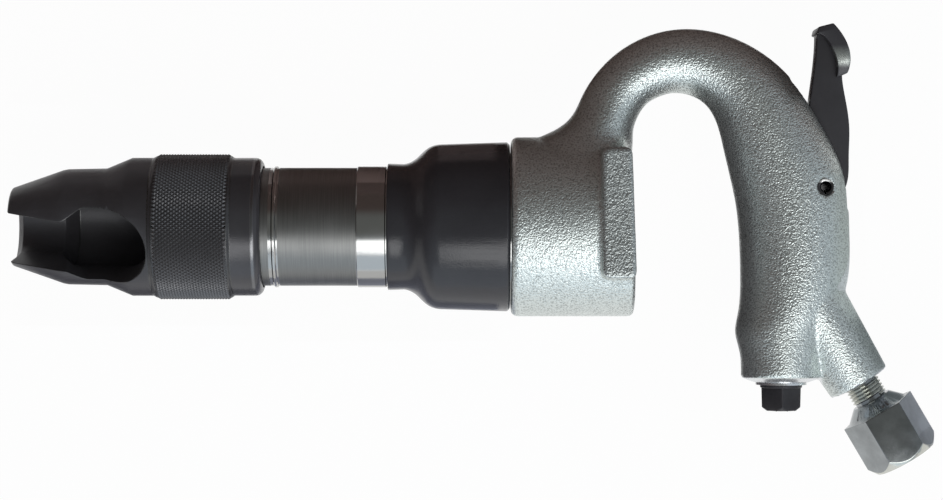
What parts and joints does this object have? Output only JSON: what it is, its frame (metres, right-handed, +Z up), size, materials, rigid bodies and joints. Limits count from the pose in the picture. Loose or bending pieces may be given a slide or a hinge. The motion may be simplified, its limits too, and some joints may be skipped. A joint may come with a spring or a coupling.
{
  "type": "pneumatic chipping hammer",
  "caption": "Pneumatic chipping hammer with a keyhole chisel retainer, steel barrel, exhaust bell and an open gooseneck handle with an outside throttle lever and hex air inlet.",
  "frame": {"origin": "centre of the chisel bushing's mouth, on the barrel axis", "axes": "+X along the barrel from the nose to the handle, +Y toward the top of the gooseneck, +Z up from the table the tool lies on"},
  "size_m": [0.3455, 0.1687, 0.07],
  "materials": {
    "black_steel": "blackened steel, satin",
    "rubber": "matte",
    "bright_steel": "ground",
    "ground_steel": "turned and ground, oiled",
    "black_moulding": "semi-gloss",
    "silver_casting": "sand cast, silver paint",
    "spring_steel": "oiled",
    "brass": "turned",
    "valve_rubber": "matte",
    "soft_aluminium": "bright",
    "zinc_plate": "zinc plated"
  },
  "bodies": {
    "tool": {"handle": "silver_casting", "barrel": "ground_steel", "chisel_bushing": "bright_steel", "retainer_stop_ring": "bright_steel", "deflector_seal": "rubber", "valve_guide": "bright_steel", "valve_box": "bright_steel", "valve_dowel": "bright_steel", "box_gasket": "rubber", "lever_pin": "spring_steel", "push_pin_guide": "brass", "push_pin_seal": "rubber", "throttle_seat": "brass", "throttle_spring": "spring_steel", "throttle_plug": "black_steel", "plug_washer": "soft_aluminium", "inlet_bushing": "zinc_plate", "inlet_strainer": "brass"},
    "buffer": {"buffer_ring": "rubber"},
    "retainer": {"retainer": "black_steel"},
    "deflector": {"exhaust_deflector": "black_moulding"},
    "piston": {"piston": "bright_steel"},
    "shuttle": {"shuttle_valve": "bright_steel"},
    "lever": {"throttle_lever": "black_steel"},
    "throttle": {"push_pin": "bright_steel", "throttle_valve": "valve_rubber"}
  },
  "joints": [
    {"name": "lever_press", "type": "hinge", "parent": "tool", "child": "lever", "pos_m": [0.2478, 0.0147, 0], "axis": [0, 0, 1], "range_deg": [0, 10], "stiffness_Nm_per_rad": 1.5, "springref_deg": -5.73},
    {"name": "throttle_slide", "type": "slide", "parent": "tool", "child": "throttle", "axis": [0, -1, 0], "range_m": [0, 0.0027], "deforming": ["throttle_spring"]},
    {"name": "buffer_slide", "type": "slide", "parent": "tool", "child": "buffer", "axis": [-1, 0, 0], "range_m": [0, 0.006]},
    {"name": "retainer_turn", "type": "hinge", "parent": "buffer", "child": "retainer", "pos_m": [0, 0, 0], "axis": [-1, 0, 0], "range_deg": [0, 720]},
    {"name": "deflector_turn", "type": "hinge", "parent": "tool", "child": "deflector", "pos_m": [0.1, 0, 0], "axis": [1, 0, 0], "continuous": true},
    {"name": "piston_stroke", "type": "slide", "parent": "tool", "child": "piston", "axis": [-1, 0, 0], "range_m": [0, 0.048]},
    {"name": "shuttle_stroke", "type": "slide", "parent": "tool", "child": "shuttle", "axis": [1, 0, 0], "range_m": [0, 0.003]}
  ],
  "couplings": [
    {"joint": "throttle_slide", "follows": "lever_press", "m_per_rad": 0.0149},
    {"joint": "buffer_slide", "follows": "retainer_turn", "m_per_rad": 0.00047746}
  ]
}
